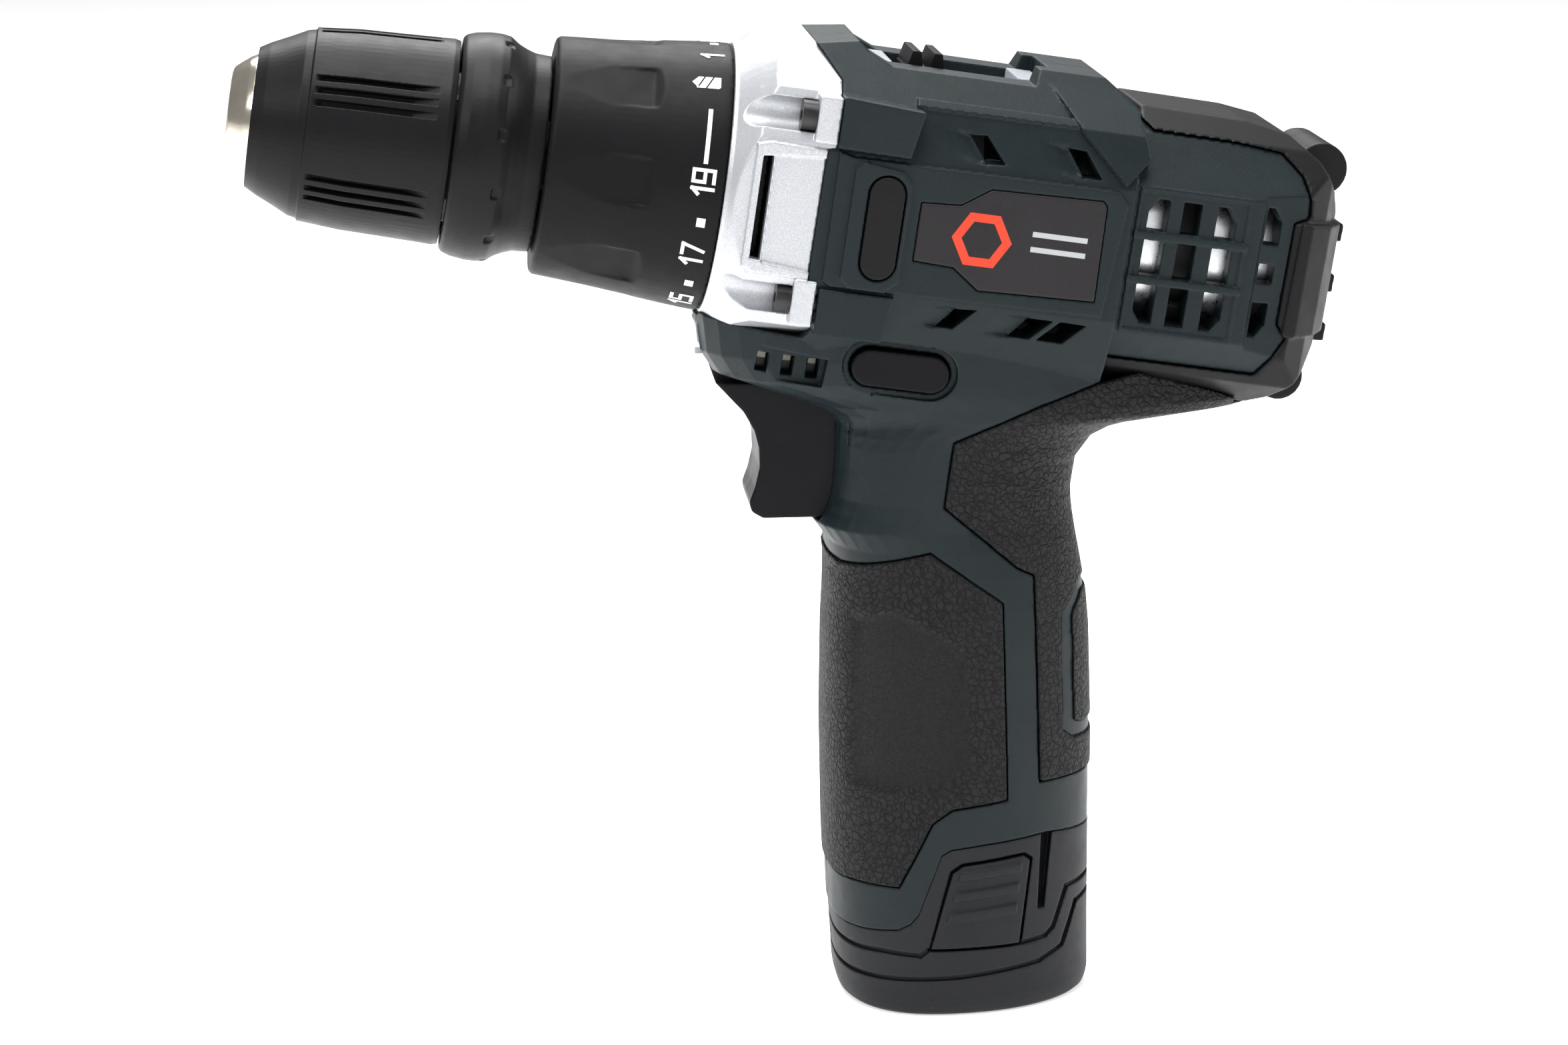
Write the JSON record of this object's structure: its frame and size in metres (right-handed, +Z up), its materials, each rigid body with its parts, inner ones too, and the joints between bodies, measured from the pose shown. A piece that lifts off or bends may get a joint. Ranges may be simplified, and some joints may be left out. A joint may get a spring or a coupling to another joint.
{
  "type": "cordless drill driver",
  "caption": "Pistol-grip cordless drill driver with keyless chuck, numbered torque collar, two-speed slide, soft grips and a slide-in battery that the drill stands on.",
  "frame": {"origin": "centre of the battery's flat base, on the surface that the drill stands on", "axes": "+Z up; the chuck points towards -X; the drill's left side faces -Y"},
  "size_m": [0.1947, 0.0544, 0.1756],
  "materials": {
    "green_plastic": "textured",
    "grip_rubber": "textured",
    "smooth_rubber": "satin",
    "badge_plastic": "satin",
    "label_plastic": "satin",
    "clear_lens": "gloss",
    "circuit_board": "satin",
    "black_plastic": "satin",
    "chuck_black": "satin",
    "battery_plastic": "textured",
    "cast_silver": "satin",
    "black_steel": "satin",
    "steel": "satin",
    "zinc_steel": "satin",
    "nickel": "polished",
    "bronze": "satin",
    "magnet": "matte",
    "cell_can": "gloss"
  },
  "bodies": {
    "drill_body": {"housing_left": "green_plastic", "housing_right": "green_plastic", "gear_case": "cast_silver", "gear_case_screws": "black_steel", "housing_screws": "steel", "front_grips": "grip_rubber", "palm_grips": "grip_rubber", "rear_bumper": "smooth_rubber", "side_pads": "smooth_rubber", "side_badges": "badge_plastic", "gear_label_plate": "label_plastic", "led_lens": "clear_lens", "gauge_board": "circuit_board", "switch_body": "black_plastic", "trigger_spring": "steel", "battery_terminals": "black_plastic", "motor_can": "zinc_steel", "motor_magnets": "magnet", "motor_end_cap": "black_plastic", "motor_brushes": "black_plastic", "motor_plate": "steel", "clutch_ring_gear": "steel", "spindle_bearings": "bronze", "clutch_pins": "steel", "clutch_washer": "steel", "clutch_spring": "steel"},
    "motor_rotor": {"motor_shaft": "steel", "armature": "steel", "commutator": "bronze", "cooling_fan": "black_plastic", "motor_pinion": "bronze"},
    "carrier_1": {"carrier_1": "steel"},
    "planet_1_a": {"planet_1_a": "steel"},
    "planet_1_b": {"planet_1_b": "steel"},
    "planet_1_c": {"planet_1_c": "steel"},
    "spindle": {"carrier_2": "steel", "output_spindle": "steel", "chuck_body": "nickel", "chuck_rear_ring": "chuck_black", "chuck_screw": "black_steel"},
    "planet_2_a": {"planet_2_a": "steel"},
    "planet_2_b": {"planet_2_b": "steel"},
    "planet_2_c": {"planet_2_c": "steel"},
    "chuck_sleeve": {"chuck_sleeve": "chuck_black", "chuck_nut": "steel"},
    "jaw_a": {"jaw_a": "steel"},
    "jaw_b": {"jaw_b": "steel"},
    "jaw_c": {"jaw_c": "steel"},
    "torque_collar": {"torque_collar": "chuck_black"},
    "spring_nut": {"spring_nut": "black_plastic"},
    "speed_knob": {"speed_knob": "black_plastic"},
    "shift_fork": {"shift_fork": "steel"},
    "shift_ring_gear": {"shift_ring_gear": "steel"},
    "trigger": {"trigger": "black_plastic"},
    "direction_button": {"direction_button": "black_plastic"},
    "battery": {"battery_case": "battery_plastic", "battery_cells": "cell_can", "battery_board": "circuit_board"},
    "latch_left": {"latch_left": "battery_plastic"},
    "latch_right": {"latch_right": "battery_plastic"}
  },
  "joints": [
    {"name": "motor_spin", "type": "hinge", "parent": "drill_body", "child": "motor_rotor", "pos_m": [0.03018, 0, 0.13789], "axis": [0.9895, 0, -0.1447], "continuous": true},
    {"name": "carrier_1_spin", "type": "hinge", "parent": "drill_body", "child": "carrier_1", "pos_m": [-0.01336, 0, 0.14425], "axis": [0.9895, 0, -0.1447], "continuous": true},
    {"name": "planet_1_a_spin", "type": "hinge", "parent": "carrier_1", "child": "planet_1_a", "pos_m": [-0.00792, 0.009, 0.14346], "axis": [0.9895, 0, -0.1447], "continuous": true},
    {"name": "planet_1_b_spin", "type": "hinge", "parent": "carrier_1", "child": "planet_1_b", "pos_m": [-0.00679, -0.0045, 0.15117], "axis": [0.9895, 0, -0.1447], "continuous": true},
    {"name": "planet_1_c_spin", "type": "hinge", "parent": "carrier_1", "child": "planet_1_c", "pos_m": [-0.00904, -0.0045, 0.13575], "axis": [0.9895, 0, -0.1447], "continuous": true},
    {"name": "chuck_spin", "type": "hinge", "parent": "drill_body", "child": "spindle", "pos_m": [-0.04898, 0, 0.14946], "axis": [0.9895, 0, -0.1447], "continuous": true},
    {"name": "planet_2_a_spin", "type": "hinge", "parent": "spindle", "child": "planet_2_a", "pos_m": [-0.02028, 0.009, 0.14527], "axis": [0.9895, 0, -0.1447], "continuous": true},
    {"name": "planet_2_b_spin", "type": "hinge", "parent": "spindle", "child": "planet_2_b", "pos_m": [-0.01916, -0.0045, 0.15298], "axis": [0.9895, 0, -0.1447], "continuous": true},
    {"name": "planet_2_c_spin", "type": "hinge", "parent": "spindle", "child": "planet_2_c", "pos_m": [-0.02141, -0.0045, 0.13755], "axis": [0.9895, 0, -0.1447], "continuous": true},
    {"name": "sleeve_turn", "type": "hinge", "parent": "spindle", "child": "chuck_sleeve", "pos_m": [-0.1034, 0, 0.15742], "axis": [0.9895, 0, -0.1447], "range_deg": [0, 1800]},
    {"name": "jaw_a_slide", "type": "slide", "parent": "spindle", "child": "jaw_a", "axis": [-0.9857, 0.1378, -0.0971], "range_m": [0, 0.01798]},
    {"name": "jaw_b_slide", "type": "slide", "parent": "spindle", "child": "jaw_b", "axis": [-0.9166, 0.1378, 0.3753], "range_m": [0, 0.01798]},
    {"name": "jaw_c_slide", "type": "slide", "parent": "spindle", "child": "jaw_c", "axis": [-0.9511, -0.2756, 0.1391], "range_m": [0, 0.01798]},
    {"name": "collar_turn", "type": "hinge", "parent": "drill_body", "child": "torque_collar", "pos_m": [-0.05887, 0, 0.15091], "axis": [0.9895, 0, -0.1447], "range_deg": [0, 320]},
    {"name": "spring_nut_slide", "type": "slide", "parent": "drill_body", "child": "spring_nut", "axis": [0.9895, 0, -0.1447], "range_m": [0, 0.00601], "deforming": ["clutch_spring"]},
    {"name": "speed_knob_slide", "type": "slide", "parent": "drill_body", "child": "speed_knob", "axis": [0.9895, 0, -0.1447], "range_m": [0, 0.0105]},
    {"name": "fork_swing", "type": "hinge", "parent": "drill_body", "child": "shift_fork", "pos_m": [-0.00668, 0, 0.14328], "axis": [0, 1, 0], "range_deg": [0, 29.26]},
    {"name": "shift_ring_slide", "type": "slide", "parent": "drill_body", "child": "shift_ring_gear", "axis": [-0.9895, 0, 0.1447], "range_m": [0, 0.00506]},
    {"name": "trigger_press", "type": "slide", "parent": "drill_body", "child": "trigger", "axis": [1, 0, 0], "range_m": [0, 0.0065], "stiffness_N_per_m": 300, "springref_m": -0.005, "deforming": ["trigger_spring"]},
    {"name": "direction_push", "type": "slide", "parent": "drill_body", "child": "direction_button", "axis": [0, 1, 0], "range_m": [-0.0025, 0.0025]},
    {"name": "battery_slide", "type": "slide", "parent": "drill_body", "child": "battery", "axis": [0, 0, -1], "range_m": [0, 0.072]},
    {"name": "latch_left_press", "type": "hinge", "parent": "battery", "child": "latch_left", "pos_m": [0, -0.0206, 0.0134], "axis": [-1, 0, 0], "range_deg": [0, 3.5], "stiffness_Nm_per_rad": 0.2, "springref_deg": -5.73},
    {"name": "latch_right_press", "type": "hinge", "parent": "battery", "child": "latch_right", "pos_m": [0, 0.0206, 0.0134], "axis": [1, 0, 0], "range_deg": [0, 3.5], "stiffness_Nm_per_rad": 0.2, "springref_deg": -5.73}
  ],
  "couplings": [
    {"joint": "carrier_1_spin", "follows": "motor_spin", "ratio": 0.2},
    {"joint": "planet_1_a_spin", "follows": "motor_spin", "ratio": -0.53333},
    {"joint": "planet_1_b_spin", "follows": "motor_spin", "ratio": -0.53333},
    {"joint": "planet_1_c_spin", "follows": "motor_spin", "ratio": -0.53333},
    {"joint": "chuck_spin", "follows": "motor_spin", "ratio": 0.04},
    {"joint": "planet_2_a_spin", "follows": "motor_spin", "ratio": -0.10667},
    {"joint": "planet_2_b_spin", "follows": "motor_spin", "ratio": -0.10667},
    {"joint": "planet_2_c_spin", "follows": "motor_spin", "ratio": -0.10667},
    {"joint": "jaw_a_slide", "follows": "sleeve_turn", "m_per_rad": 0.00057163},
    {"joint": "jaw_b_slide", "follows": "sleeve_turn", "m_per_rad": 0.00057163},
    {"joint": "jaw_c_slide", "follows": "sleeve_turn", "m_per_rad": 0.00057163},
    {"joint": "spring_nut_slide", "follows": "collar_turn", "m_per_rad": 0.0010743},
    {"joint": "fork_swing", "follows": "speed_knob_slide", "rad_per_m": 48.603},
    {"joint": "shift_ring_slide", "follows": "speed_knob_slide", "ratio": 0.48077}
  ]
}
